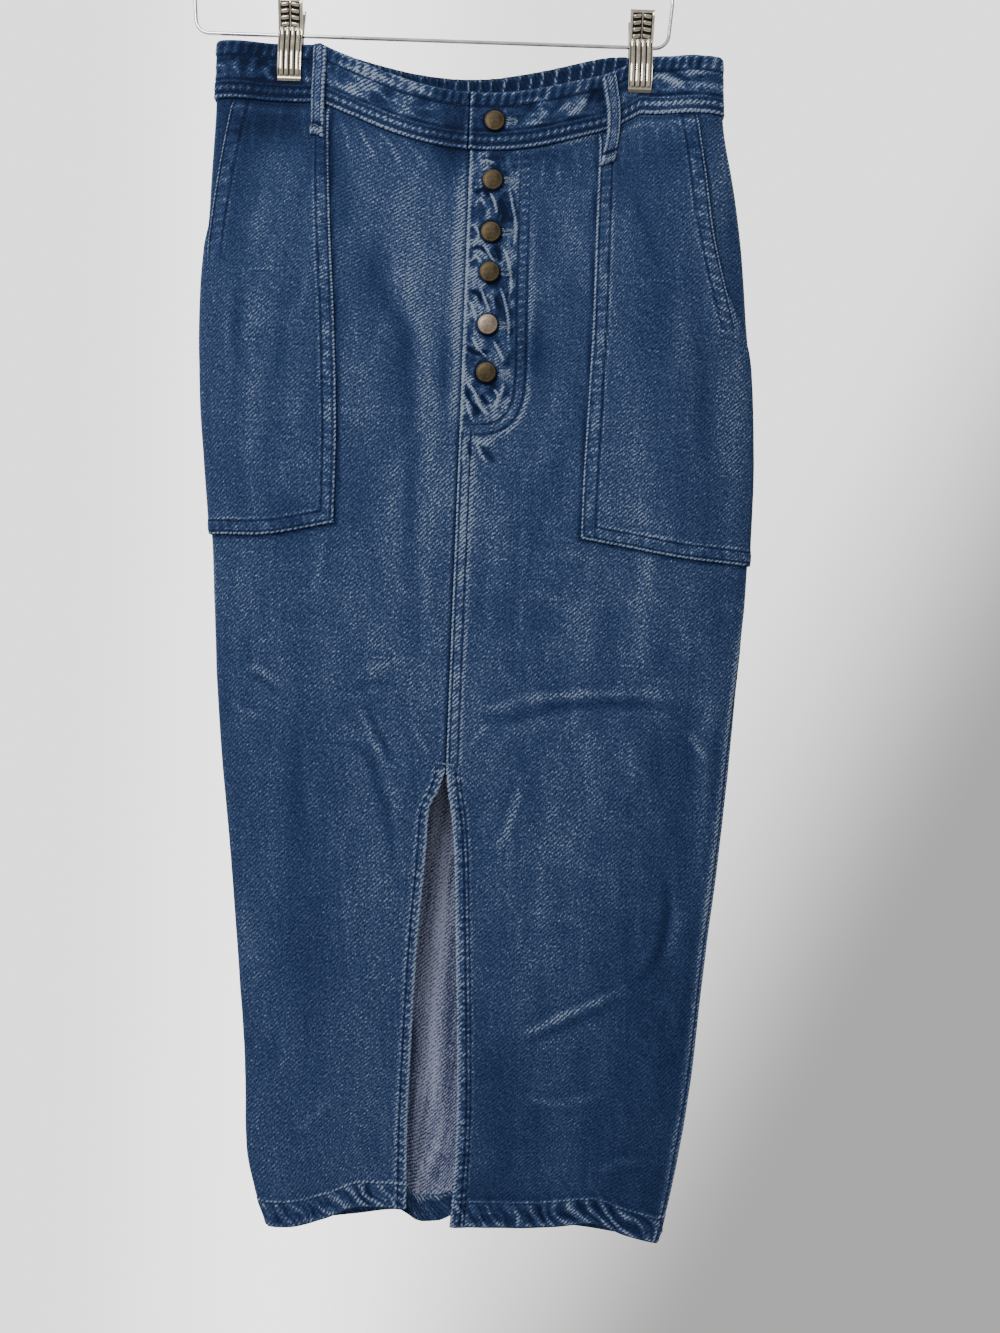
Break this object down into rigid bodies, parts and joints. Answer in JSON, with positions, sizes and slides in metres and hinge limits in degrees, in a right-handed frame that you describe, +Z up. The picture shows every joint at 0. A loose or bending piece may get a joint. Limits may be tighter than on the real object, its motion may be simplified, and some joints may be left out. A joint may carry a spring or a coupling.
{
  "type": "denim skirt on wire clip hanger",
  "caption": "Washed denim midi skirt with button fly, patch pockets, elastic back waist and front slit, hung by two clips from a wire hanger.",
  "frame": {"origin": "inside crown of the hanger's hook, where the rail that holds it touches", "axes": "+Z up, +X to the viewer's right along the hanger's bar, the front of the skirt faces -Y"},
  "size_m": [0.4508, 0.0454, 1.0925],
  "materials": {
    "denim": "washed mid-blue denim twill, faded at the centre front",
    "denim_waistband": "washed denim, worn pale along its edges and gathers",
    "denim_pocket": "washed denim with pale worn seams",
    "button_brass": "antique brass, dark in its rim",
    "hanger_wire": "bright chrome",
    "clip_steel": "bright nickel plate"
  },
  "bodies": {
    "root": {"front_left_panel": "denim", "front_right_panel": "denim", "back_panel": "denim", "waistband_front_left": "denim_waistband", "waistband_front_right": "denim_waistband", "waistband_back": "denim_waistband", "pocket_left": "denim_pocket", "pocket_right": "denim_pocket", "fly_underlay": "denim", "belt_loop_left": "denim_waistband", "belt_loop_right": "denim_waistband", "button_1": "button_brass", "button_2": "button_brass", "button_3": "button_brass", "button_4": "button_brass", "button_5": "button_brass", "button_6": "button_brass", "hanger_frame": "hanger_wire", "hanger_hook": "hanger_wire", "hanger_ferrule": "hanger_wire", "clip_left_front_jaw": "clip_steel", "clip_left_back_jaw": "clip_steel", "clip_left_spring": "clip_steel", "clip_right_front_jaw": "clip_steel", "clip_right_back_jaw": "clip_steel", "clip_right_spring": "clip_steel"}
  },
  "joints": []
}
